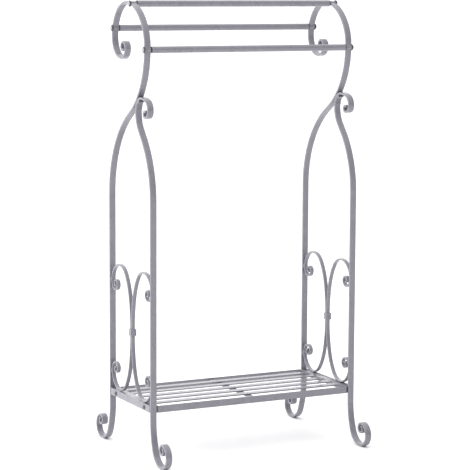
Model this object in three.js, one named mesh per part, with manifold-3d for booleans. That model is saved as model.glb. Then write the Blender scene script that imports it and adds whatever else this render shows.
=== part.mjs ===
// Valet stand in bent flat steel bar: two scrolled side frames, three round rails, a slatted shelf.
// Millimetres. X runs along the rails, -Y is the front, +Z is up from the floor.
import * as THREE from 'three';
import { mergeVertices } from 'three/addons/utils/BufferGeometryUtils.js';
import Module from 'manifold-3d';

const wasm = await Module();
wasm.setup();

// ---- driving dimensions ----
const FRAME_SPACING = 445;    // between the centre planes of the two side frames
const LEG_Y = 100;            // leg centreline, in front of and behind the middle
const SPLAY_TOP = 514.5;      // height at which the straight legs start to bend together
const BAR_W = 13, BAR_T = 4.5;        // main flat bar
const SCROLL_W = 8, SCROLL_T = 3.5;   // lighter flat bar of the C scrolls
const GAP = 0.3;              // left between pieces that touch
const CHORD_ERROR = 0.08;     // how far a bent bar's facets may leave its true arc

const EYE_R = 4.6, EYE_FACETS = 8;                     // bolted eyes that carry the rails
const BOLT_HOLE_R = 2.8, BOLT_R = 2.5, BOLT_CHAMFER = 0.5, BOLT_LEAD = 1;
const HEAD_R = 5.9, HEAD_H = 4, HEAD_UNDERCUT = 0.9;   // domed head, chamfered below its rim
const DOME_ANGLES = [0, 30, 55, 75];                   // degrees up the dome from its rim
const RAIL_R = 6.5, RAIL_WALL = 1.2, BOLT_REACH = 13;
const PLUG_LEN = 16, PLUG_FLANGE_R = 6.1, PLUG_FLANGE_T = 1.4;

const C_MIDDLE_Z = 245, C_BACK_Y = 2.1;   // C scrolls: height of the collar, centreline of a spine
const COLLAR_H = 14, COLLAR_WALL = 1.1, COLLAR_RIDGE = 1.1, COLLAR_CORNER_R = 0.2;
// Height up the collar, from -1 to 1, and how much of the ridge stands out there: three ridges.
const COLLAR_PROFILE = [[-1, 0.5], [-0.85, 1], [-0.5, 1], [-0.36, 0], [-0.3, 0], [-0.17, 1], [0.17, 1],
  [0.3, 0], [0.36, 0], [0.5, 1], [0.85, 1], [1, 0.5]];

const SHELF_TOP = 114.5, SHELF_BAR_H = 14, SHELF_BAR_T = 3, SHELF_RAIL_Y = 98.5;
const SHELF_RAIL_HALF = 213;  // half length of the shelf's front and rear rails
const STRETCHER_TOP = 115.2, STRETCHER_T = 4;
const ANGLE_T = 2.5, ANGLE_FLANGE = 14;
const SLAT_COUNT = 5, SLAT_W = 16, SLAT_T = 2.5, SLAT_PITCH = 33;
const CROSSBAR_W = 12, CROSSBAR_T = 3;
const SCREW_Y = 70, SCREW_Z = 107.8, SCREW_HOLE_R = 2.1, SCREW_R = 1.8;
const SCREW_POINT = 0.45, SCREW_LEAD = 0.7, SCREW_PAST_NUT = 1;   // chamfer and length of its tip
const SCREW_HEAD_R = 4.2, SCREW_HEAD_H = 2;
const PAN_HEAD = [[0, 1], [0.5, 1], [0.9, 0.65]];      // rise and radius, as parts of the head's own
const NUT_ACROSS = 7, NUT_H = 3;

const FRAME_X = FRAME_SPACING / 2;

// Bends of the bars, in order: [radius, degrees], [length] for a straight, or the word 'eye'.
// Positive degrees turn a bar that runs upwards towards the rear.
const FOOT = [[150, 24], [36, 66], [4], [23, 90], [22.5, 80], [10.2, 100], [8.4, 110],
  [6.4, 110], [4.4, 60]];
const MAIN_TOP = [[190, -58], [16], [150, 56.5], 'eye', [150, 1.5], [77, 33], [101, 40], 'eye', [69, 93],
  'eye', [69, 14], [41, 90], [23.5, 60], [13.5, 90], [9.5, 110], [6.8, 110], [4.6, 60]];
const FRONT_TOP = [[190, 40], [19.6], [50, -40], [7.5], [22, -90], [60, -20], [20.5, -70],
  [13.5, -80], [10, -40], [5.8, -170], [4.4, -40]];
const HALF_C = [[8.7], [260, 14], [118, 22], [37.3, 122], [27, 50], [13, 120], [9, 110], [6.4, 110],
  [4.2, 120]];

const paint = { color: 0x8a8890, roughness: 0.5, metalness: 0.25 };
const stand = new THREE.Group();
stand.name = 'valet_stand';

function add(name, geometry, x = 0, y = 0, z = 0) {
  const mesh = new THREE.Mesh(geometry, new THREE.MeshStandardMaterial(paint));
  mesh.name = name;
  mesh.position.set(x, y, z);
  stand.add(mesh);
}

// Follow a list of bends from (y, z), starting at a heading of 0 for up and 180 for down.
function walk(y, z, heading, bends) {
  const points = [];
  let h = THREE.MathUtils.degToRad(heading);
  const step = (len, turn) => {
    const chord = turn ? 2 * (len / turn) * Math.sin(turn / 2) : len;
    y += chord * Math.sin(h + turn / 2);
    z += chord * Math.cos(h + turn / 2);
    h += turn;
    points.push({ y, z, h });
  };
  points.push({ y, z, h });
  for (const bend of bends) {
    if (bend === 'eye') {
      points[points.length - 1].eye = true;
    } else if (bend.length === 1) {
      step(bend[0], 0);
    } else {
      const turn = THREE.MathUtils.degToRad(bend[1]);
      const count = Math.ceil(Math.abs(turn) / (2 * Math.acos(1 - CHORD_ERROR / bend[0])));
      for (let i = 0; i < count; i++) step(bend[0] * Math.abs(turn) / count, turn / count);
    }
  }
  return points;
}

// The same line walked from its far end.
function reversed(points) {
  return points.map((p) => ({ ...p, h: p.h + Math.PI })).reverse();
}

function mirrored(points) {
  return points.map((p) => ({ ...p, y: -p.y, h: -p.h }));
}

// One side of a bar's outline; an eye swells it to a round boss.
function side(points, thickness, sign) {
  const eyes = points.filter((p) => p.eye);
  const half = thickness / 2;
  const outline = [];
  for (const p of points) {
    const across = new THREE.Vector2(Math.cos(p.h), -Math.sin(p.h)).multiplyScalar(sign);
    const along = new THREE.Vector2(Math.sin(p.h), Math.cos(p.h));
    if (p.eye) {
      const reach = Math.acos(half / EYE_R);
      for (let k = 0; k <= EYE_FACETS; k++) {
        const a = reach * (2 * k / EYE_FACETS - 1);
        outline.push(new THREE.Vector2(p.y, p.z)
          .addScaledVector(across, EYE_R * Math.cos(a)).addScaledVector(along, EYE_R * Math.sin(a)));
      }
    } else if (!eyes.some((e) => Math.hypot(e.y - p.y, e.z - p.z) < EYE_R + 1)) {
      outline.push(new THREE.Vector2(p.y, p.z).addScaledVector(across, half));
    }
  }
  return outline;
}

function circlePath(y, z, r) {
  return new THREE.Path().absarc(y, z, r, 0, 2 * Math.PI, true);
}

// Extrude a shape drawn in (y, z) along X, centred on x = 0.
function plate(shape, width, curveSegments = 10) {
  const geometry = new THREE.ExtrudeGeometry(shape, { depth: width, bevelEnabled: false, curveSegments });
  const toRow = new THREE.Matrix4().makeBasis(
    new THREE.Vector3(0, 1, 0), new THREE.Vector3(0, 0, 1), new THREE.Vector3(1, 0, 0));
  return geometry.applyMatrix4(toRow).translate(-width / 2, 0, 0);
}

function bentBar(points, thickness, width) {
  const shape = new THREE.Shape([...side(points, thickness, 1), ...side(points, thickness, -1).reverse()]);
  for (const e of points.filter((p) => p.eye)) shape.holes.push(circlePath(e.y, e.z, BOLT_HOLE_R));
  return plate(shape, width);
}

// Join rings of points into one closed surface; the ends close on themselves or on pole points.
function skin(rings, poles) {
  const n = rings[0].length;
  const points = rings.flat();
  const index = [];
  const quad = (a, b, i) => {
    const j = (i + 1) % n;
    index.push(a * n + i, a * n + j, b * n + j, a * n + i, b * n + j, b * n + i);
  };
  for (let a = 0; a < rings.length - (poles ? 1 : 0); a++) {
    for (let i = 0; i < n; i++) quad(a, (a + 1) % rings.length, i);
  }
  if (poles) {
    points.push(...poles);
    const last = (rings.length - 1) * n;
    for (let i = 0; i < n; i++) {
      const j = (i + 1) % n;
      index.push(points.length - 2, j, i, points.length - 1, last + i, last + j);
    }
  }
  const geometry = new THREE.BufferGeometry().setFromPoints(points);
  geometry.setIndex(index);
  return geometry;
}

// A turned piece about the X axis; profile points are [x, radius] with x increasing on the outside.
// A profile that starts and ends at radius 0 is solid, any other is a ring.
function turned(profile, segments = 16) {
  const solid = profile[0][1] === 0;
  const body = solid ? profile.slice(1, -1) : profile;
  const rings = body.map(([x, r]) => Array.from({ length: segments }, (_, i) => {
    const a = 2 * Math.PI * i / segments;
    return new THREE.Vector3(x, r * Math.cos(a), r * Math.sin(a));
  }));
  const poles = solid && [profile[0], profile.at(-1)].map(([x]) => new THREE.Vector3(x, 0, 0));
  return skin(rings, poles);
}

function ring(x0, x1, inner, outer, segments) {
  return turned([[x0, inner], [x0, outer], [x1, outer], [x1, inner]], segments);
}

function flipX(geometry) {
  return geometry.rotateZ(Math.PI);
}

function toSolid(geometry) {
  const bare = geometry.clone();
  for (const key of Object.keys(bare.attributes)) if (key !== 'position') bare.deleteAttribute(key);
  const merged = mergeVertices(bare, 1e-5);
  return new wasm.Manifold(new wasm.Mesh({
    numProp: 3, vertProperties: new Float32Array(merged.attributes.position.array),
    triVerts: new Uint32Array(merged.index.array) }));
}

function drilled(geometry, centres, radius, length) {
  let solid = toSolid(geometry);
  for (const [x, y, z] of centres) {
    const drill = new THREE.CylinderGeometry(radius, radius, length, 16).rotateZ(Math.PI / 2);
    solid = solid.subtract(toSolid(drill.translate(x, y, z)));
  }
  const mesh = solid.getMesh();
  const made = new THREE.BufferGeometry();
  made.setAttribute('position', new THREE.BufferAttribute(new Float32Array(mesh.vertProperties), 3));
  made.setIndex([...mesh.triVerts]);
  return made;
}

// ---- centrelines of the bars of one side frame ----
const footWalk = walk(LEG_Y, 0, 180, FOOT.map((b) => (b.length === 1 ? b : [b[0], -b[1]])));
const footRise = BAR_T / 2 - Math.min(...footWalk.map((p) => p.z));    // the foot rests on the floor
const foot = footWalk.map((p) => ({ ...p, z: p.z + footRise }));
const mainLine = [...reversed(foot), ...walk(LEG_Y, SPLAY_TOP, 0, MAIN_TOP)];
const frontLine = [...reversed(mirrored(foot)), ...walk(-LEG_Y, SPLAY_TOP, 0, FRONT_TOP)];
const upperC = walk(C_BACK_Y, C_MIDDLE_Z, 0, HALF_C);
const lowerC = upperC.map((p) => ({ ...p, z: 2 * C_MIDDLE_Z - p.z, h: Math.PI - p.h }));
const rearC = [...reversed(lowerC).slice(0, -1), ...upperC];
const eyes = mainLine.filter((p) => p.eye);    // front, top and rear, in the order they are met

// ---- one collar, wrapped round the two spines: three ridges with two grooves between ----
function collar() {
  const hx = SCROLL_W / 2 + GAP;
  const hy = C_BACK_Y + SCROLL_T / 2 + GAP;
  const rounded = (grow, z) => {
    const r = Math.max(grow, COLLAR_CORNER_R);
    const points = [];
    for (const [sx, sy, a0] of [[1, 1, 0], [-1, 1, 90], [-1, -1, 180], [1, -1, 270]]) {
      for (let k = 0; k <= 2; k++) {
        const a = THREE.MathUtils.degToRad(a0 + 45 * k);
        const cx = sx * (hx + grow - r);
        const cy = sy * (hy + grow - r);
        points.push(new THREE.Vector3(cx + r * Math.cos(a), cy + r * Math.sin(a), z));
      }
    }
    return points;
  };
  const rings = [rounded(0, -COLLAR_H / 2)];
  for (const [t, bulge] of COLLAR_PROFILE) {
    rings.push(rounded(COLLAR_WALL + bulge * COLLAR_RIDGE, t * COLLAR_H / 2));
  }
  rings.push(rounded(0, COLLAR_H / 2));
  return skin(rings, null);
}

// ---- rails: tube, a flanged plug in each end and the bolts that hold them ----
const plugFace = FRAME_X - BAR_W / 2 - GAP;
const plugShoulder = plugFace - PLUG_FLANGE_T;
const railHalf = plugShoulder - GAP;
const plugR = RAIL_R - RAIL_WALL - GAP;
const plugProfile = [[plugFace - PLUG_LEN, BOLT_HOLE_R], [plugFace - PLUG_LEN, plugR], [plugShoulder, plugR],
  [plugShoulder, PLUG_FLANGE_R], [plugFace, PLUG_FLANGE_R], [plugFace, BOLT_HOLE_R]];
const headSeat = FRAME_X + BAR_W / 2 + GAP;    // under the heads of bolts and screws alike
const rim = headSeat + HEAD_UNDERCUT;
const domeH = HEAD_H - HEAD_UNDERCUT;
const dome = DOME_ANGLES.map((angle) => {
  const a = THREE.MathUtils.degToRad(angle);
  return [rim + domeH * Math.sin(a), HEAD_R * Math.cos(a)];
});
const boltTip = plugFace - BOLT_REACH;
const boltProfile = [[boltTip, 0], [boltTip, BOLT_R - BOLT_CHAMFER], [boltTip + BOLT_LEAD, BOLT_R],
  [headSeat, BOLT_R], [headSeat, HEAD_R - HEAD_UNDERCUT], ...dome, [headSeat + HEAD_H, 0]];
eyes.forEach((eye, i) => {
  const name = ['front', 'top', 'rear'][i];
  add(`${name}_rail`, ring(-railHalf, railHalf, RAIL_R - RAIL_WALL, RAIL_R, 28), 0, eye.y, eye.z);
  for (const [label, turn] of [['left', flipX], ['right', (g) => g]]) {
    add(`${label}_${name}_rail_plug`, turn(turned(plugProfile)), 0, eye.y, eye.z);
    add(`${label}_${name}_bolt`, turn(turned(boltProfile)), 0, eye.y, eye.z);
  }
});

// ---- side frames ----
const stretcherHalf = LEG_Y - BAR_T / 2 - GAP;
const stretcherX = FRAME_X + (BAR_W - STRETCHER_T) / 2;    // flush with the legs' outer sides
const angleOuterX = stretcherX - STRETCHER_T / 2 - GAP;    // outside of the end rail's upright flange
function stretcher() {
  const shape = new THREE.Shape([[-1, -1], [1, -1], [1, 0], [-1, 0]].map(([a, b]) => (
    new THREE.Vector2(a * stretcherHalf, STRETCHER_TOP + (b < 0 ? -SHELF_BAR_H : 0)))));
  for (const s of [-1, 1]) shape.holes.push(circlePath(s * SCREW_Y, SCREW_Z, SCREW_HOLE_R));
  return plate(shape, STRETCHER_T, 8);
}

const angleHalf = SHELF_RAIL_Y - SHELF_BAR_T / 2 - GAP;
function endRail() {
  const a = ANGLE_T, w = ANGLE_FLANGE, h = SHELF_BAR_H;
  const section = new THREE.Shape([[0, 0], [0, -h], [-a, -h], [-a, -a], [-w, -a], [-w, 0]].map(([x, z]) => (
    new THREE.Vector2(x, z)))); // drawn in (x, z), from the outer top corner
  const geometry = new THREE.ExtrudeGeometry(section, { depth: 2 * angleHalf, bevelEnabled: false })
    .rotateX(Math.PI / 2).translate(angleOuterX, angleHalf, SHELF_TOP);
  const holes = [-1, 1].map((s) => [angleOuterX - a / 2, s * SCREW_Y, SCREW_Z]);
  return drilled(geometry, holes, SCREW_HOLE_R, 3 * a);
}

const nutOuter = angleOuterX - ANGLE_T - GAP;
const nutInner = nutOuter - NUT_H;
const screwTip = nutInner - SCREW_PAST_NUT;
const screwHead = PAN_HEAD.map(([rise, r]) => [headSeat + rise * SCREW_HEAD_H, r * SCREW_HEAD_R]);
const screwProfile = [[screwTip, 0], [screwTip, SCREW_R - SCREW_POINT], [screwTip + SCREW_LEAD, SCREW_R],
  [headSeat, SCREW_R], ...screwHead, [headSeat + SCREW_HEAD_H, 0]];

function nut() {
  const r = NUT_ACROSS / Math.sqrt(3);
  const ringOf = (x, hex) => Array.from({ length: 18 }, (_, i) => {
    const a = 2 * Math.PI * i / 18;
    const flat = NUT_ACROSS / 2 / Math.cos((a % (Math.PI / 3)) - Math.PI / 6);
    const q = hex ? Math.min(flat, r) : SCREW_HOLE_R;
    return new THREE.Vector3(x, q * Math.cos(a), q * Math.sin(a));
  });
  return skin([ringOf(nutInner, false), ringOf(nutInner, true), ringOf(nutOuter, true),
    ringOf(nutOuter, false)], null);
}

for (const [label, s, turn] of [['left', -1, flipX], ['right', 1, (g) => g]]) {
  const x = s * FRAME_X;
  add(`${label}_main_bar`, bentBar(mainLine, BAR_T, BAR_W), x);
  add(`${label}_front_bar`, bentBar(frontLine, BAR_T, BAR_W), x);
  add(`${label}_rear_c_scroll`, bentBar(rearC, SCROLL_T, SCROLL_W), x);
  add(`${label}_front_c_scroll`, bentBar(mirrored(rearC), SCROLL_T, SCROLL_W), x);
  add(`${label}_collar`, collar(), x, 0, C_MIDDLE_Z);
  add(`${label}_stretcher`, stretcher(), s * stretcherX);
  add(`${label}_shelf_end_rail`, turn(endRail()));
  for (const [end, t] of [['front', -1], ['rear', 1]]) {
    add(`${label}_${end}_shelf_screw`, turn(turned(screwProfile, 16)), 0, t * SCREW_Y, SCREW_Z);
    add(`${label}_${end}_shelf_nut`, turn(nut()), 0, t * SCREW_Y, SCREW_Z);
  }
}

// ---- shelf ----
for (const [end, t] of [['front', -1], ['rear', 1]]) {
  add(`shelf_${end}_rail`, new THREE.BoxGeometry(2 * SHELF_RAIL_HALF, SHELF_BAR_T, SHELF_BAR_H),
    0, t * SHELF_RAIL_Y, SHELF_TOP - SHELF_BAR_H / 2);
}
const slatHalf = angleOuterX - ANGLE_FLANGE - GAP;    // up to the end rails' flanges, flush with them
for (let i = 0; i < SLAT_COUNT; i++) {
  add(`slat_${i + 1}`, new THREE.BoxGeometry(2 * slatHalf, SLAT_W, SLAT_T),
    0, (i - (SLAT_COUNT - 1) / 2) * SLAT_PITCH, SHELF_TOP - SLAT_T / 2);
}
add('slat_crossbar', new THREE.BoxGeometry(CROSSBAR_W, 2 * angleHalf, CROSSBAR_T),
  0, 0, SHELF_TOP - SLAT_T - GAP - CROSSBAR_T / 2);

export default stand;
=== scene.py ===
"""Looks of a grey valet stand in bent flat bar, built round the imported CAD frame.

+Z is up and -Y the front. The scene is in metres. Shapes are worked out in millimetres and degrees,
as a smith would note them, and MM scales them.
"""

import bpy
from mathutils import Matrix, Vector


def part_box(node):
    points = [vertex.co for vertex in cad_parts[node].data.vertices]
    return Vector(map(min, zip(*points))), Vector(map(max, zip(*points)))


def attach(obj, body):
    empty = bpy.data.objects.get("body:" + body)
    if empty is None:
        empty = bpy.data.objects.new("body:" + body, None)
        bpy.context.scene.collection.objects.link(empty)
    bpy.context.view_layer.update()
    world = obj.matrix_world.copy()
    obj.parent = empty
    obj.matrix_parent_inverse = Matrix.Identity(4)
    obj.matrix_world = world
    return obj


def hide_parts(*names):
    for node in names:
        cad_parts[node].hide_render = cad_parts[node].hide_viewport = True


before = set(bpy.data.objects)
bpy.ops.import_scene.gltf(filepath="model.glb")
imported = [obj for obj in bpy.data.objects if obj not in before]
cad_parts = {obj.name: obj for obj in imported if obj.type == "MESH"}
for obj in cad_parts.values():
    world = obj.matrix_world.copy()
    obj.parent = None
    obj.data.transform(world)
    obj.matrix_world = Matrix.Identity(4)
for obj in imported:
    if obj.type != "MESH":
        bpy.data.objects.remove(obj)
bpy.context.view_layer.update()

import math

import bmesh
import bpy
from mathutils import Matrix, Vector

MM = 0.001
OUTWARD = {"left": -1, "right": 1}      # each side frame, and the X direction away from the middle
ENDS = ("front", "rear")

# ---- sizes shared with the CAD ----
LEG_Y = 100.0
SPLAY_TOP = 514.5
BAR_W, BAR_T = 13.0, 4.5
SCROLL_W, SCROLL_T = 8.0, 3.5
EYE_R = 4.6
C_MIDDLE_Z, C_BACK_Y = 245.0, 2.1
COLLAR_WALL, COLLAR_RIDGE = 1.1, 1.1
RAIL_WALL = 1.2
PLUG_HOLE_R, PLUG_R, FLANGE_R, FLANGE_T, PLUG_LEN = 2.8, 5.0, 6.1, 1.4, 16
HEAD_H, HEAD_UNDERCUT = 4.0, 0.9
SCREW_HEAD_H = 2
ANGLE_T = 2.5                           # the shelf's end rails

# Bends in order: (radius, degrees), (length,) for a straight, or EYE where a rail is bolted.
# Positive degrees turn a bar that runs upwards towards the rear.
EYE = "eye"
FOOT = [(150, 24), (36, 66), (4,), (23, 90), (22.5, 80), (10.2, 100), (8.4, 110), (6.4, 110), (4.4, 60)]
MAIN_TOP = [(190, -58), (16,), (150, 56.5), EYE, (150, 1.5), (77, 33), (101, 40), EYE, (69, 93), EYE,
            (69, 14), (41, 90), (23.5, 60), (13.5, 90), (9.5, 110), (6.8, 110), (4.6, 60)]
FRONT_TOP = [(190, 40), (19.6,), (50, -40), (7.5,), (22, -90), (60, -20), (20.5, -70),
             (13.5, -80), (10, -40), (5.8, -170), (4.4, -40)]
HALF_C = [(8.7,), (260, 14), (118, 22), (37.3, 122), (27, 50), (13, 120), (9, 110), (6.4, 110), (4.2, 120)]

# ---- sizes of the looks alone ----
# Sections: corners are arcs, and a support point beside each keeps the flats flat.
CORNER_STEPS, SUPPORT, SUPPORT_SHARE = 4, 0.3, 0.9
LEAST_EDGE, EDGE_SHARE = 0.05, 0.96     # limits of a corner's radius: least, and share of a half side
INSET_EDGE = 0.6                        # how much a corner shrinks for each mm its section shrinks
# Bars: rounded edges and cut ends, and eyes blended into the flat.
BAR_EDGE, SCROLL_EDGE = 1.1, 1.0
CUT_R, CUT_ANGLES, CUT_CLEAR = 0.8, (90, 68, 45, 22, 0), 1.3
EYE_REACH, EYE_BLEND, EYE_FROM = 3, 0.9, 0.25
BLOCK_ANGLES, BLOCK_SUPPORT = (90, 72, 54, 36, 18, 0), 0.4
SHELF_EDGE, STRETCHER_EDGE = 0.6, 0.7
ANGLE_BEND, ANGLE_CROOK = 2.6, 0.5      # radii outside and inside the end rails' bend
# Collar: three ridges between two thin lips.
COLLAR_RIDGES, COLLAR_STEPS, RIDGE_FULLNESS = 3, 60, 0.6
COLLAR_LIP, COLLAR_CORNER = 0.2, 1.6
# Turned pieces.
RAIL_LIP, RAIL_SIDES, SCREW_SIDES, CROWN_SIDES = 0.7, 64, 32, 24
RAIL_SUPPORTS = (-0.98, -0.6, -0.2, 0.2, 0.6, 0.98)
FLANGE_CHAMFER, FLANGE_RELIEF = 0.3, 0.4
DOME_STEP = 9                           # degrees
HEAD_LEDGE, HEAD_RIM = 1.0, (0.25, 0.12)
BOLT_SHANK_R, BOLT_SHANK_LEN = 2.4, 14  # out of sight; thinner and shorter than in the CAD
# The crown is a paler cap on the dome's top: a painted highlight.
CROWN_FROM, CROWN_DEPTH, CROWN_PROUD = 4, 1.2, 0.05
# The washers under the heads are black: painted shade round the heads' bases.
WASHER_OUT, WASHER_CHAMFER, WASHER_BACK, WASHER_FRONT = 0.5, 0.2, 0.28, 0.95
WASHER_HOLE_R, WASHER_RIM, WASHER_LIP = 3, (0.1, 0.8), 1
SCREW_SHANK_R, SCREW_SHANK_LEN, SCREW_RIM_H = 1.7, 13, 1.3
SCREW_DOME = ((0.5, 0.8), (0.1, 0.45))  # depth below the tip, and share of the head's radius
RECESS_R, RECESS_FLOOR_R, RECESS_DEPTH = 0.9, 0.7, 0.9
# The screws' washers are black too: painted shade round the screw heads.
SCREW_WASHER_HOLE_R, SCREW_WASHER_OUT = 2.2, 0.3
SCREW_WASHER_BACK, SCREW_WASHER_RIM, SCREW_WASHER_FRONT = 2.2, 1.6, 1.5
# Weld beads: round in section, rippled along their length, blunt at both ends.
BEAD_SIDES, RIPPLE_STEPS, RIPPLE_DEPTH = 12, 6, 0.16
BEAD_BLUNTNESS, BEAD_TIP = 6, 0.03
STACK_COUNT, STACK_R, STACK_EVEN, STACK_SWELL, STACK_SINK = 9, 1.5, 3, 0.26, 0.25
STACK_Z, STACK_TURN = (686, 711), 66    # the part of the neck's arch that carries the stack
# The stack's overhang, and the sizes and places of the neck's black beads of painted shade.
STACK_OVERHANG, NECK_SHADE_SHARE, NECK_SHADE_R = 0.6, 0.9, 1.2
NECK_SHADE_BELOW, NECK_SHADE_ALONG, CREASE_OFF, BEHIND_Y = 2.4, 2.6, 0.7, 40
NECK_Z, NECK_R, NECK_SINK = (690, 716), 1.7, 0.4
NECK_DOWN, NECK_UP = (0, 2, 7), (0, -1, 6)
TOUCH_Z = ((100, 200), (290, 390))      # heights where a C scroll meets its leg
TOUCH_HALF, TOUCH_R, TOUCH_SINK = 4.5, 1.3, 0.2
FOOT_HALF, FOOT_R = 6, 1.2              # where a C scroll stands on its stretcher
STRETCHER_BEAD_R, STRETCHER_BEAD_END, STRETCHER_BEAD_IN = 0.9, 1, 0.3
# The shelf corners' black beads are painted shade in the gaps beside the legs.
SHELF_BEAD_R, SHELF_BEAD_END, SHELF_BEAD_OUT = 1.9, 0.5, 1.7

MERGE_DIST = 1e-7                       # metres
SAME_PLACE = 1e-6


# ---- centrelines ----
class Station:
    """One place on a bar's centreline: where it is, which way it heads and how far along it is."""

    def __init__(self, y, z, heading, along=0.0, eye=False):
        self.y, self.z, self.heading, self.along, self.eye = y, z, heading, along, eye

    @property
    def forward(self):
        return Vector((0, math.sin(self.heading), math.cos(self.heading)))

    @property
    def across(self):
        return Vector((0, math.cos(self.heading), -math.sin(self.heading)))


def walk(y, z, heading, bends, chord_error=0.012, longest=9.0):
    """Follows the bends from (y, z); a heading of 0 is up and 180 down."""
    h = math.radians(heading)
    line = [Station(y, z, h)]
    for bend in bends:
        if bend == EYE:
            line[-1].eye = True
            continue
        turn = math.radians(bend[1]) if len(bend) == 2 else 0.0
        length = bend[0] * abs(turn) if turn else bend[0]
        step = min(longest, math.sqrt(8 * bend[0] * chord_error)) if turn else longest
        count = max(1, math.ceil(length / step))
        for _ in range(count):
            part, bit = turn / count, length / count
            chord = bit * math.sin(part / 2) / (part / 2) if part else bit
            last = line[-1]
            line.append(Station(last.y + chord * math.sin(last.heading + part / 2),
                                last.z + chord * math.cos(last.heading + part / 2),
                                last.heading + part))
    return line


def reversed_line(line):
    return [Station(s.y, s.z, s.heading + math.pi, eye=s.eye) for s in reversed(line)]


def mirrored(line):
    """The same bar on the other side of the middle, front for rear."""
    return [Station(-s.y, s.z, -s.heading, eye=s.eye) for s in line]


def measured(line):
    """Sets how far along the bar each station is."""
    for a, b in zip(line, line[1:]):
        b.along = a.along + math.hypot(b.y - a.y, b.z - a.z)
    return line


def refined(line, centres, reach, step=0.3):
    """Adds close stations near the given places along the line."""
    fine = [line[0]]
    for a, b in zip(line, line[1:]):
        near = any(a.along - reach < c < b.along + reach for c in centres)
        count = max(1, math.ceil((b.along - a.along) / step)) if near else 1
        for i in range(1, count):
            t = i / count
            fine.append(Station(a.y + (b.y - a.y) * t, a.z + (b.z - a.z) * t,
                                a.heading + (b.heading - a.heading) * t, a.along + (b.along - a.along) * t))
        fine.append(b)
    return fine


def closest(line_a, line_b, z_low, z_high):
    """The place midway between two centrelines where they come nearest, in a range of heights."""
    best = None
    for s in line_a:
        if not z_low < s.z < z_high:
            continue
        spot = Vector((0, s.y, s.z))
        for a, b in zip(line_b, line_b[1:]):
            start, run = Vector((0, a.y, a.z)), Vector((0, b.y - a.y, b.z - a.z))
            if run.length < SAME_PLACE:
                continue
            t = min(1, max(0, (spot - start).dot(run) / run.length_squared))
            other = start + run * t
            if best is None or (other - spot).length < best[0]:
                best = ((other - spot).length, (other + spot) / 2)
    return best[1]


foot = walk(LEG_Y, 0, 180, [b if len(b) == 1 else (b[0], -b[1]) for b in FOOT])
foot_rise = BAR_T / 2 - min(s.z for s in foot)
for s in foot:
    s.z += foot_rise
main_line = measured(reversed_line(foot) + walk(LEG_Y, SPLAY_TOP, 0, MAIN_TOP))
front_line = measured(reversed_line(mirrored(foot)) + walk(-LEG_Y, SPLAY_TOP, 0, FRONT_TOP))
upper_c = walk(C_BACK_Y, C_MIDDLE_Z, 0, HALF_C)
lower_c = [Station(s.y, 2 * C_MIDDLE_Z - s.z, math.pi - s.heading) for s in upper_c]
rear_c = measured(reversed_line(lower_c)[:-1] + upper_c)
front_c = measured(mirrored(rear_c))


# ---- mesh helpers ----
def finished(name, bm, material, replaced=()):
    """Makes the object, rides it on the one body and hides the CAD nodes it stands for."""
    bmesh.ops.recalc_face_normals(bm, faces=bm.faces)
    for face in bm.faces:
        face.smooth = True
    mesh = bpy.data.meshes.new(name)
    bm.to_mesh(mesh)
    bm.free()
    obj = bpy.data.objects.new(name, mesh)
    bpy.context.scene.collection.objects.link(obj)
    mesh.materials.append(material)
    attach(obj, "root")
    if replaced:
        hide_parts(*replaced)


def loft(bm, rings, closed=False):
    """Joins rings of points; open lofts get flat ends."""
    rows = [[bm.verts.new(p) for p in ring] for ring in rings]
    n = len(rows[0])
    pairs = list(zip(rows, rows[1:]))
    if closed:
        pairs.append((rows[-1], rows[0]))
    for a, b in pairs:
        for i in range(n):
            j = (i + 1) % n
            bm.faces.new((a[i], a[j], b[j], b[i]))
    if not closed:
        bm.faces.new(rows[0][::-1])
        bm.faces.new(rows[-1])


def lofted(rings, closed=False):
    bm = bmesh.new()
    loft(bm, rings, closed)
    return bm


def rounded_section(half_w, half_t, edge):
    """A rounded rectangle as (x, n) points, with extra points that keep its flats flat."""
    edge = max(LEAST_EDGE, min(edge, half_t * EDGE_SHARE, half_w * EDGE_SHARE))
    inner_w, inner_t = half_w - edge, half_t - edge
    flat_w = inner_w - min(SUPPORT, inner_w * SUPPORT_SHARE)
    flat_t = inner_t - min(SUPPORT, inner_t * SUPPORT_SHARE)
    points = []
    for sx, sn, start in ((1, 1, 0), (-1, 1, 90), (-1, -1, 180), (1, -1, 270)):
        corner = [(sx * inner_w + edge * math.cos(math.radians(start + 90 * k / CORNER_STEPS)),
                   sn * inner_t + edge * math.sin(math.radians(start + 90 * k / CORNER_STEPS)))
                  for k in range(CORNER_STEPS + 1)]
        on_side, on_face = (sx * half_w, sn * flat_t), (sx * flat_w, sn * half_t)
        points += [on_side, *corner, on_face] if start % 180 == 0 else [on_face, *corner, on_side]
    return points


def smooth_max(a, b, blend):
    return max(a, b) + max(blend - abs(a - b), 0) ** 2 / (4 * blend)


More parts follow.
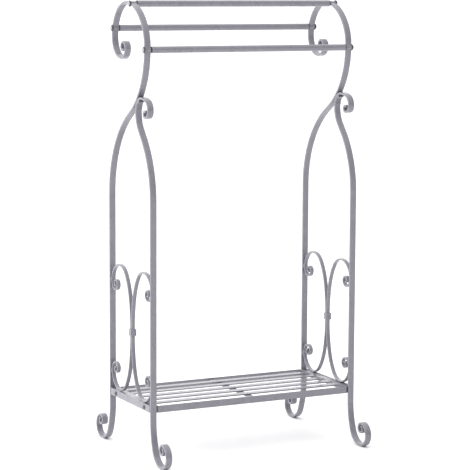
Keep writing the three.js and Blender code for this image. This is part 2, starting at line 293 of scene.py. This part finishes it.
def bar_mesh(line, thickness, width, edge, x_mid):
    """A flat bar swept along its line, swollen to a round eye where a rail is bolted to it."""
    eyes = [s.along for s in line if s.eye]
    line = refined(line, eyes, EYE_R + EYE_REACH)

    def half_thickness(along):
        bulge = max((math.sqrt(max(EYE_R ** 2 - (along - e) ** 2, 0)) for e in eyes), default=0)
        return smooth_max(thickness / 2, bulge, EYE_BLEND) if bulge > thickness * EYE_FROM else thickness / 2

    def ring(station, shift, inset, half_t):
        middle = Vector((x_mid / MM, station.y, station.z)) + station.forward * shift
        return [(middle + Vector((x, 0, 0)) + station.across * n) * MM
                for x, n in rounded_section(width / 2 - inset, half_t - inset, edge - inset * INSET_EDGE)]

    def cut_ring(station, angle, facing):
        a = math.radians(angle)
        return ring(station, facing * CUT_R * (1 - math.sin(a)), CUT_R * (1 - math.cos(a)), thickness / 2)

    rings = [cut_ring(line[0], a, 1) for a in CUT_ANGLES]
    for s in line[1:-1]:
        if CUT_R * CUT_CLEAR < s.along < line[-1].along - CUT_R * CUT_CLEAR:
            rings.append(ring(s, 0, 0, half_thickness(s.along)))
    rings += [cut_ring(line[-1], a, -1) for a in reversed(CUT_ANGLES)]
    return lofted(rings)


def turned_mesh(profile, centre, facing, segments=48):
    """A turned piece about the X axis: profile is [(x, radius)] from its outer end, closed on itself."""
    rings = []
    for k in range(segments):
        a = 2 * math.pi * k / segments
        rings.append([centre + Vector((facing * x, r * math.cos(a), r * math.sin(a))) * MM
                      for x, r in profile])
    bm = lofted(rings, closed=True)
    bmesh.ops.remove_doubles(bm, verts=bm.verts, dist=MERGE_DIST)
    bmesh.ops.dissolve_degenerate(bm, edges=bm.edges, dist=MERGE_DIST)
    return bm


def arc_points(cx, cr, radius, start, end, steps):
    """Points of an arc in a turned profile; degrees from the +x direction."""
    return [(cx + radius * math.cos(math.radians(start + (end - start) * k / steps)),
             cr + radius * math.sin(math.radians(start + (end - start) * k / steps)))
            for k in range(steps + 1)]


def rounded_block(low, high, edge):
    """A straight flat bar that fills a box, its long edges and its ends rounded."""
    middle, half = (low + high) / 2, (high - low) / 2 / MM
    run = 0 if half.x > half.y else 1
    wide = 1 - run
    ends = [(half[run] - edge + edge * math.sin(math.radians(a)), edge * (1 - math.cos(math.radians(a))))
            for a in BLOCK_ANGLES]
    ends.append((half[run] - edge - BLOCK_SUPPORT, 0))
    rings = []
    for at, inset in [(-at, inset) for at, inset in ends] + ends[::-1]:
        ring = []
        for w, n in rounded_section(half[wide] - inset, half.z - inset, edge - inset * INSET_EDGE):
            p = Vector((0, 0, n))
            p[run], p[wide] = at, w
            ring.append(middle + p * MM)
        rings.append(ring)
    return lofted(rings)


def block(name, edge):
    """A straight bar's finer version, in place of its CAD node."""
    finished(f"{name}_smooth", rounded_block(*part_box(name), edge), paint, [name])


def bead(bm, start, end, radius, ripples):
    """Adds a weld bead between two places: a fat rippled line with round ends, in millimetres."""
    run = end - start
    side = run.orthogonal().normalized()
    up = run.normalized().cross(side)
    count = ripples * RIPPLE_STEPS
    rings = []
    for k in range(count + 1):
        t = k / count
        cap = math.sqrt(max(1 - (2 * t - 1) ** BEAD_BLUNTNESS, BEAD_TIP))
        r = radius * cap * (1 - RIPPLE_DEPTH + RIPPLE_DEPTH * abs(math.sin(math.pi * ripples * t)))
        rings.append([(start + run * t + (side * math.cos(a) + up * math.sin(a)) * r) * MM
                      for a in (2 * math.pi * i / BEAD_SIDES for i in range(BEAD_SIDES))])
    loft(bm, rings)


# ---- materials ----
# Noise scales: mottling, broad patches, rubbed spots, gloss and orange peel.
MOTTLE, BROAD, RUBBED, GLOSS, PEEL = 38, 7, 120, 55, 620
DARKER, PALER = 0.94, 1.05
EDGE_STARTS, EDGE_FULL = 0.51, 0.6      # pointiness where rubbing starts and where it is full
MIDDLE, WIDE = (0.35, 0.65), (0.3, 0.7) # the parts of a noise's range that are spread out
PATCH_SHARE, RUB_RANGE, RUB_SHARES = 0.3, (0.42, 0.6), (0.1, 0.8)
GLOSSIER, DULLER = 0.05, 0.07
PEEL_DEPTH = 0.00012                    # metres
COAT_ROUGHNESS = 0.14


def painted_steel(name, shade, edge_shade, roughness, bump=0.25, coat=0.3):
    """Satin paint on steel: faint mottling, fine orange peel, another shade where edges are rubbed."""
    mat = bpy.data.materials.new(name)
    mat.use_nodes = True
    nodes, links = mat.node_tree.nodes, mat.node_tree.links
    shader = nodes["Principled BSDF"]
    place = nodes.new("ShaderNodeTexCoord").outputs["Object"]

    def noise(scale, detail=4.0):
        node = nodes.new("ShaderNodeTexNoise")
        node.inputs["Scale"].default_value = scale
        node.inputs["Detail"].default_value = detail
        links.new(place, node.inputs["Vector"])
        return node.outputs["Fac"]

    def spread(value, low, high, out_low, out_high):
        node = nodes.new("ShaderNodeMapRange")
        node.inputs["From Min"].default_value, node.inputs["From Max"].default_value = low, high
        node.inputs["To Min"].default_value, node.inputs["To Max"].default_value = out_low, out_high
        links.new(value, node.inputs["Value"])
        return node.outputs["Result"]

    def blend(fac, a, b):
        node = nodes.new("ShaderNodeMix")
        node.data_type = "RGBA"
        links.new(fac, node.inputs["Factor"])
        for socket, colour in ((node.inputs["A"], a), (node.inputs["B"], b)):
            if isinstance(colour, tuple):
                socket.default_value = (*colour, 1)
            else:
                links.new(colour, socket)
        return node.outputs["Result"]

    dark, light = (tuple(c * by for c in shade) for by in (DARKER, PALER))
    mottled = blend(spread(noise(MOTTLE), *MIDDLE, 0, 1), dark, light)
    broad = blend(spread(noise(BROAD, 2), *WIDE, 0, PATCH_SHARE), mottled, shade)
    rubbed = nodes.new("ShaderNodeMath")
    rubbed.operation = "MULTIPLY"
    pointiness = nodes.new("ShaderNodeNewGeometry").outputs["Pointiness"]
    links.new(spread(pointiness, EDGE_STARTS, EDGE_FULL, 0, 1), rubbed.inputs[0])
    links.new(spread(noise(RUBBED), *RUB_RANGE, *RUB_SHARES), rubbed.inputs[1])
    links.new(blend(rubbed.outputs["Value"], broad, edge_shade), shader.inputs["Base Color"])
    links.new(spread(noise(GLOSS), *WIDE, roughness - GLOSSIER, roughness + DULLER),
              shader.inputs["Roughness"])
    peel = nodes.new("ShaderNodeBump")
    peel.inputs["Strength"].default_value = bump
    peel.inputs["Distance"].default_value = PEEL_DEPTH
    links.new(noise(PEEL, 3), peel.inputs["Height"])
    links.new(peel.outputs["Normal"], shader.inputs["Normal"])
    shader.inputs["Coat Weight"].default_value = coat
    shader.inputs["Coat Roughness"].default_value = COAT_ROUGHNESS
    return mat


paint = painted_steel("grey_paint", (0.218, 0.211, 0.246), (0.32, 0.315, 0.35), 0.29)
weld_paint = painted_steel("weld_paint", (0.21, 0.205, 0.238), (0.36, 0.355, 0.39), 0.30, bump=0.8)
# A dark finish for the bolts, screws and nuts, partly their own colour and darkened further to paint the
# shade round the heads.
bolt_dark_and_shade = painted_steel("bolt_dark_and_shade_finish", (0.06, 0.058, 0.068), (0.11, 0.108, 0.122), 0.2, bump=0.1)
# A paler shade for the bolts' crowns: a painted highlight on the domes.
crown_painted_highlight = painted_steel("crown_highlight_finish", (0.34, 0.335, 0.36), (0.38, 0.375, 0.40), 0.25, bump=0.1)
# Black for the rail plugs, the washers and the beads in crevices: partly the plugs' own colour, and painted
# shade in the gaps and crevices.
shade_and_plug_black = painted_steel("shade_and_plug_black", (0.045, 0.045, 0.052), (0.08, 0.08, 0.09), 0.45, coat=0.0)


# ---- side frames ----
def side_bars(side, x_mid):
    for node, line, t, w, edge in (
            ("main_bar", main_line, BAR_T, BAR_W, BAR_EDGE),
            ("front_bar", front_line, BAR_T, BAR_W, BAR_EDGE),
            ("rear_c_scroll", rear_c, SCROLL_T, SCROLL_W, SCROLL_EDGE),
            ("front_c_scroll", front_c, SCROLL_T, SCROLL_W, SCROLL_EDGE)):
        finished(f"{side}_{node}_smooth", bar_mesh(line, t, w, edge, x_mid), paint,
                 [f"{side}_{node}"])


def collar(side):
    """Three rounded ridges, wrapped round the two spines."""
    low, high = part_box(f"{side}_collar")
    middle, half = (low + high) / 2, (high - low) / 2 / MM
    grow = COLLAR_WALL + COLLAR_RIDGE

    def ring(offset, z, corner):
        return [middle + Vector((x, n, z)) * MM
                for x, n in rounded_section(half.x - grow + offset, half.y - grow + offset, corner)]

    rings = [ring(0, -half.z, COLLAR_LIP)]
    for k in range(COLLAR_STEPS + 1):
        t = -1 + 2 * k / COLLAR_STEPS
        bulge = abs(math.cos(COLLAR_RIDGES / 2 * math.pi * t)) ** RIDGE_FULLNESS
        rings.append(ring(COLLAR_WALL + COLLAR_RIDGE * bulge, t * half.z, COLLAR_CORNER))
    rings.append(ring(0, half.z, COLLAR_LIP))
    finished(f"{side}_collar_smooth", lofted(rings, closed=True), paint, [f"{side}_collar"])


def neck_welds_and_shade(side, x):
    """A stack of beads under the arch at the neck, one on each side of the joint, and black beads of painted
    shade in the crevice under the stack and in the crease where the main bar meets the top of the front bar.
    """
    arch = [s for s in front_line
            if STACK_Z[0] < s.z < STACK_Z[1] and abs(s.heading) < math.radians(STACK_TURN)]
    wide = Vector((BAR_W / 2 + STACK_OVERHANG, 0, 0))
    bm = bmesh.new()
    for k in range(STACK_COUNT):
        s = arch[int(k * (len(arch) - 1) / (STACK_COUNT - 1))]
        r = STACK_R + STACK_SWELL * max(0, k - STACK_EVEN)
        spot = Vector((x, s.y, s.z)) - s.across * (BAR_T / 2 + r * STACK_SINK)
        bead(bm, spot - wide, spot + wide, r, ripples=3)
    # Where the crevice under the stack is darkened with a black bead of painted shade.
    root = spot - s.across * NECK_SHADE_BELOW + s.forward * NECK_SHADE_ALONG
    neck = closest(front_line, main_line, *NECK_Z)
    for face in (-1, 1):
        spot = neck + Vector((x + face * (BAR_W / 2 - NECK_SINK), 0, 0))
        bead(bm, spot - Vector(NECK_DOWN), spot + Vector(NECK_UP), NECK_R, ripples=5)
    finished(f"{side}_neck_weld", bm, weld_paint)

    # Painted shade: black beads in the crevice under the stack and in the crease where the main bar meets
    # the top of the front bar.
    bm = bmesh.new()
    bead(bm, root - wide * NECK_SHADE_SHARE, root + wide * NECK_SHADE_SHARE, NECK_SHADE_R, ripples=3)
    top = max(front_line, key=lambda s: s.z)
    behind = min((s for s in main_line if s.y < BEHIND_Y), key=lambda s: abs(s.z - top.z - BAR_T / 2))
    crease = Vector((x, behind.y, behind.z)) - behind.across * (BAR_T / 2 + CREASE_OFF)
    bead(bm, crease - wide * NECK_SHADE_SHARE, crease + wide * NECK_SHADE_SHARE, NECK_SHADE_R, ripples=4)
    finished(f"{side}_neck_painted_shade", bm, shade_and_plug_black)


def scroll_welds(side, sign, x):
    """Beads where each C scroll meets its leg and where it stands on the stretcher."""
    bm = bmesh.new()
    for scroll, leg in ((rear_c, main_line), (front_c, front_line)):
        for z_low, z_high in TOUCH_Z:
            spot = closest(scroll, leg, z_low, z_high) + Vector((x, 0, 0))
            for face in (-1, 1):
                at = spot + Vector((face * (SCROLL_W / 2 - TOUCH_SINK), 0, 0))
                rise = Vector((0, 0, TOUCH_HALF))
                bead(bm, at - rise, at + rise, TOUCH_R, ripples=4)
        low_point = min(scroll, key=lambda s: s.z)
        at = Vector((x + sign * SCROLL_W / 2, low_point.y, low_point.z - SCROLL_T / 2))
        bead(bm, at - Vector((0, FOOT_HALF, 0)), at + Vector((0, FOOT_HALF, 0)), FOOT_R, ripples=5)
    finished(f"{side}_scroll_welds", bm, weld_paint)


def stretcher_welds(side):
    """Upright beads at both ends of the stretcher, on both of its faces."""
    low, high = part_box(f"{side}_stretcher")
    bm = bmesh.new()
    for y in (low.y / MM, high.y / MM):
        for x in (low.x / MM, high.x / MM - STRETCHER_BEAD_IN):
            bead(bm, Vector((x, y, low.z / MM + STRETCHER_BEAD_END)),
                 Vector((x, y, high.z / MM - STRETCHER_BEAD_END)), STRETCHER_BEAD_R, ripples=6)
    finished(f"{side}_stretcher_welds", bm, weld_paint)


for side, sign in OUTWARD.items():
    low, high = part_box(f"{side}_main_bar")
    x_mid = (low.x + high.x) / 2
    side_bars(side, x_mid)
    collar(side)
    block(f"{side}_stretcher", STRETCHER_EDGE)
    neck_welds_and_shade(side, x_mid / MM)
    scroll_welds(side, sign, x_mid / MM)
    stretcher_welds(side)


# ---- rails ----
def outer_face(low, high, sign):
    """How far from the middle a box reaches on its own side, in millimetres."""
    return (high.x if sign > 0 else -low.x) / MM


def rail_tube(rail, centre, half):
    outer, inner = half.z, half.z - RAIL_WALL
    edge_x, edge_r = half.x - RAIL_LIP, outer - RAIL_LIP
    profile = ([(-half.x, inner)] + arc_points(-half.x + RAIL_LIP, edge_r, RAIL_LIP, 180, 90, 4)
               + [(half.x * t, outer) for t in RAIL_SUPPORTS]
               + arc_points(edge_x, edge_r, RAIL_LIP, 90, 0, 4) + [(half.x, inner)])
    finished(f"{rail}_rail_smooth", turned_mesh(profile, centre, 1, RAIL_SIDES), paint,
             [f"{rail}_rail"])


# A rail's end plug: its black is partly its own colour and partly painted shade in the gap between the rail
# and the bar.
def rail_plug(side, sign, rail, axis):
    face = outer_face(*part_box(f"{side}_{rail}_rail_plug"), sign)
    back = face - FLANGE_T
    profile = [(face, PLUG_HOLE_R), (face, FLANGE_R - FLANGE_RELIEF), (face - FLANGE_CHAMFER, FLANGE_R),
               (back + FLANGE_CHAMFER, FLANGE_R), (back, FLANGE_R - FLANGE_CHAMFER),
               (back, PLUG_R), (face - PLUG_LEN, PLUG_R), (face - PLUG_LEN, PLUG_HOLE_R)]
    finished(f"{side}_{rail}_plug_smooth", turned_mesh(profile, axis, sign), shade_and_plug_black,
             [f"{side}_{rail}_rail_plug"])


def rail_bolt(side, sign, rail, axis):
    """The domed bolt through a bar's eye, its paler crown and the dark washer under its head. The crown's
    paler shade is a painted highlight, and the washer's black is painted shade round the head's base.
    """
    low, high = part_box(f"{side}_{rail}_bolt")
    tip = outer_face(low, high, sign)
    radius = (high.z - low.z) / 2 / MM
    seat, rim = tip - HEAD_H, tip - HEAD_H + HEAD_UNDERCUT
    dome = [(rim + (tip - rim) * math.sin(math.radians(a)), radius * math.cos(math.radians(a)))
            for a in range(0, 91, DOME_STEP)]
    profile = [(seat - BOLT_SHANK_LEN, 0), (seat - BOLT_SHANK_LEN, BOLT_SHANK_R), (seat, BOLT_SHANK_R),
               (seat, radius - HEAD_LEDGE), (rim - HEAD_RIM[0], radius - HEAD_RIM[1]), *dome]
    finished(f"{side}_{rail}_bolt_smooth", turned_mesh(profile, axis, sign), bolt_dark_and_shade,
             [f"{side}_{rail}_bolt"])
    crown = [(tip - CROWN_DEPTH, 0)] + [(x + CROWN_PROUD, r) for x, r in dome[CROWN_FROM:]]
    finished(f"{side}_{rail}_bolt_crown", turned_mesh(crown, axis, sign, CROWN_SIDES), crown_painted_highlight)
    back, front, out = seat - WASHER_BACK, seat + WASHER_FRONT, radius + WASHER_OUT
    washer = [(back, WASHER_HOLE_R), (back, out - WASHER_CHAMFER), (seat - WASHER_RIM[0], out),
              (seat + WASHER_RIM[1], out), (front, out - WASHER_CHAMFER), (front, radius - WASHER_LIP)]
    finished(f"{side}_{rail}_washer", turned_mesh(washer, axis, sign), shade_and_plug_black)


for rail in ("front", "top", "rear"):
    low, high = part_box(f"{rail}_rail")
    centre = (low + high) / 2
    rail_tube(rail, centre, (high - low) / 2 / MM)
    for side, sign in OUTWARD.items():
        axis = Vector((0, centre.y, centre.z))
        rail_plug(side, sign, rail, axis)
        rail_bolt(side, sign, rail, axis)


# ---- shelf ----
def end_rail(side, sign):
    """An angle: one flange upright against the stretcher, one level, which the slats end against."""
    low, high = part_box(f"{side}_shelf_end_rail")
    outer, inner = outer_face(low, high, sign), (low.x if sign > 0 else -high.x) / MM
    top, bottom, lip = high.z / MM, low.z / MM, SHELF_EDGE
    section = arc_points(outer - ANGLE_BEND, top - ANGLE_BEND, ANGLE_BEND, 0, 90, 6)
    section += arc_points(inner + lip, top - lip, lip, 90, 180, 3)
    section += arc_points(inner + lip, top - ANGLE_T + lip, lip, 180, 270, 3)
    section += arc_points(outer - ANGLE_T - ANGLE_CROOK, top - ANGLE_T - ANGLE_CROOK, ANGLE_CROOK, 90, 0, 3)
    section += arc_points(outer - ANGLE_T + lip, bottom + lip, lip, 180, 270, 3)
    section += arc_points(outer - lip, bottom + lip, lip, 270, 360, 3)
    rings = [[Vector((sign * x * MM, y, z * MM)) for x, z in section] for y in (low.y, high.y)]
    finished(f"{side}_shelf_end_rail_smooth", lofted(rings), paint,
             [f"{side}_shelf_end_rail"])


# A screw and its black washer, which paints the shade round the head's base.
def shelf_screw(side, sign, end):
    low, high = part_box(f"{side}_{end}_shelf_screw")
    tip = outer_face(low, high, sign)
    radius = (high.z - low.z) / 2 / MM
    axis = Vector((0, (low.y + high.y) / 2, (low.z + high.z) / 2))
    seat, bottom = tip - SCREW_HEAD_H, tip - RECESS_DEPTH
    dome = [(tip - depth, radius * share) for depth, share in SCREW_DOME]
    profile = [(tip - SCREW_SHANK_LEN, 0), (tip - SCREW_SHANK_LEN, SCREW_SHANK_R), (seat, SCREW_SHANK_R),
               (seat, radius), (tip - SCREW_RIM_H, radius), *dome, (tip, RECESS_R),
               (bottom, RECESS_FLOOR_R), (bottom, 0)]
    back, front, out = tip - SCREW_WASHER_BACK, tip - SCREW_WASHER_FRONT, radius + SCREW_WASHER_OUT
    ring = [(back, SCREW_WASHER_HOLE_R), (back, out), (tip - SCREW_WASHER_RIM, out), (front, radius),
            (front, SCREW_WASHER_HOLE_R)]
    finished(f"{side}_{end}_screw_washer", turned_mesh(ring, axis, sign, SCREW_SIDES), shade_and_plug_black)
    finished(f"{side}_{end}_screw_smooth", turned_mesh(profile, axis, sign, SCREW_SIDES), bolt_dark_and_shade,
             [f"{side}_{end}_shelf_screw"])


def shelf_corner_shade(side, sign, end):
    """A black bead that fills the corner between a leg and the end of a shelf rail: painted shade in the gap
    there.
    """
    low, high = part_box(f"shelf_{end}_rail")
    corner = Vector((sign * (high.x / MM + SHELF_BEAD_OUT), (low.y + high.y) / 2 / MM, 0))
    bm = bmesh.new()
    bead(bm, corner + Vector((0, 0, low.z / MM + SHELF_BEAD_END)),
         corner + Vector((0, 0, high.z / MM - SHELF_BEAD_END)), SHELF_BEAD_R, ripples=6)
    finished(f"{side}_{end}_shelf_corner_shade", bm, shade_and_plug_black)


for name in ["shelf_front_rail", "shelf_rear_rail", *(f"slat_{i}" for i in range(1, 6)), "slat_crossbar"]:
    block(name, SHELF_EDGE)
for side, sign in OUTWARD.items():
    end_rail(side, sign)
    for end in ENDS:
        shelf_screw(side, sign, end)
        shelf_corner_shade(side, sign, end)

# The CAD nodes that still show are the nuts.
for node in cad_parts.values():
    if not node.hide_render:
        node.data.materials.clear()
        node.data.materials.append(bolt_dark_and_shade)

# ---- floor ----
FLOOR_HALF, FLOOR_DROP = 400, 0.0005    # metres; so wide that its far edge is out of the main view
FLOOR_WHITE, FLOOR_ROUGHNESS = (0.95, 0.95, 0.95), 0.9

floor_white = bpy.data.materials.new("floor_white")
floor_white.use_nodes = True
shader = floor_white.node_tree.nodes["Principled BSDF"]
shader.inputs["Base Color"].default_value = (*FLOOR_WHITE, 1)
shader.inputs["Roughness"].default_value = FLOOR_ROUGHNESS
bm = bmesh.new()
bmesh.ops.create_grid(bm, x_segments=1, y_segments=1, size=FLOOR_HALF)
mesh = bpy.data.meshes.new("floor")
bm.to_mesh(mesh)
bm.free()
floor = bpy.data.objects.new("floor", mesh)
floor.location.z = -FLOOR_DROP
bpy.context.scene.collection.objects.link(floor)
mesh.materials.append(floor_white)

# ---- light ----
# A studio: a bright ceiling, a bright wall behind and to the left, and a dim room round the camera.
ROOM, CEILING, WALL, WALL_SIDE = 0.25, 1.5, 1.3, Vector((-0.35, 0.94, 0))
WALL_STARTS, WALL_FULL = -0.1, 0.9

world = bpy.data.worlds.new("studio")
world.use_nodes = True
nodes, links = world.node_tree.nodes, world.node_tree.links
direction = nodes.new("ShaderNodeTexCoord").outputs["Generated"]
height = nodes.new("ShaderNodeSeparateXYZ")
links.new(direction, height.inputs["Vector"])
square = nodes.new("ShaderNodeMath")
square.operation = "POWER"
links.new(height.outputs["Z"], square.inputs[0])
square.inputs[1].default_value = 2
ceiling = nodes.new("ShaderNodeMath")
ceiling.operation = "MULTIPLY_ADD"
links.new(square.outputs["Value"], ceiling.inputs[0])
ceiling.inputs[1].default_value = CEILING
ceiling.inputs[2].default_value = ROOM
facing = nodes.new("ShaderNodeVectorMath")
facing.operation = "DOT_PRODUCT"
links.new(direction, facing.inputs[0])
facing.inputs[1].default_value = WALL_SIDE
wall = nodes.new("ShaderNodeMapRange")
wall.interpolation_type = "SMOOTHSTEP"
wall.inputs["From Min"].default_value, wall.inputs["From Max"].default_value = WALL_STARTS, WALL_FULL
wall.inputs["To Max"].default_value = WALL
links.new(facing.outputs["Value"], wall.inputs["Value"])
total = nodes.new("ShaderNodeMath")
links.new(ceiling.outputs["Value"], total.inputs[0])
links.new(wall.outputs["Result"], total.inputs[1])
links.new(total.outputs["Value"], nodes["Background"].inputs["Strength"])
nodes["Background"].inputs["Color"].default_value = (1, 1, 1, 1)
bpy.context.scene.world = world
bpy.context.scene.view_settings.view_transform = "Standard"


def softbox(name, location, target, size, power):
    """A square light, in metres and watts, that faces its target."""
    light = bpy.data.lights.new(name, "AREA")
    light.shape = "SQUARE"
    light.size = size
    light.energy = power
    obj = bpy.data.objects.new(name, light)
    obj.location = location
    obj.rotation_euler = (Vector(target) - Vector(location)).to_track_quat("-Z", "Y").to_euler()
    bpy.context.scene.collection.objects.link(obj)


softbox("key", (-3.0, -0.3, 1.7), (0, 0, 0.4), 1.8, 50)
softbox("spark", (-1.2, -3.2, 2.2), (0, 0, 0.5), 0.5, 9)

# ---- camera ----
YAW, PITCH, ROLL = (math.radians(a) for a in (26.8, 7.5, 0.28))
CAMERA_AT = (-1.756, -3.486, 0.942)     # metres
SENSOR, LENS = 36, 148.6

forward = Vector((math.sin(YAW) * math.cos(PITCH), math.cos(YAW) * math.cos(PITCH), -math.sin(PITCH)))
level = Vector((math.cos(YAW), -math.sin(YAW), 0))
upright = level.cross(forward)
right = level * math.cos(ROLL) + upright * math.sin(ROLL)
up = upright * math.cos(ROLL) - level * math.sin(ROLL)
camera = bpy.data.objects.new("camera", bpy.data.cameras.new("camera"))
camera.data.sensor_width = SENSOR
camera.data.lens = LENS
camera.matrix_world = Matrix.Translation(CAMERA_AT) @ Matrix((right, up, -forward)).transposed().to_4x4()
bpy.context.scene.collection.objects.link(camera)
bpy.context.scene.camera = camera
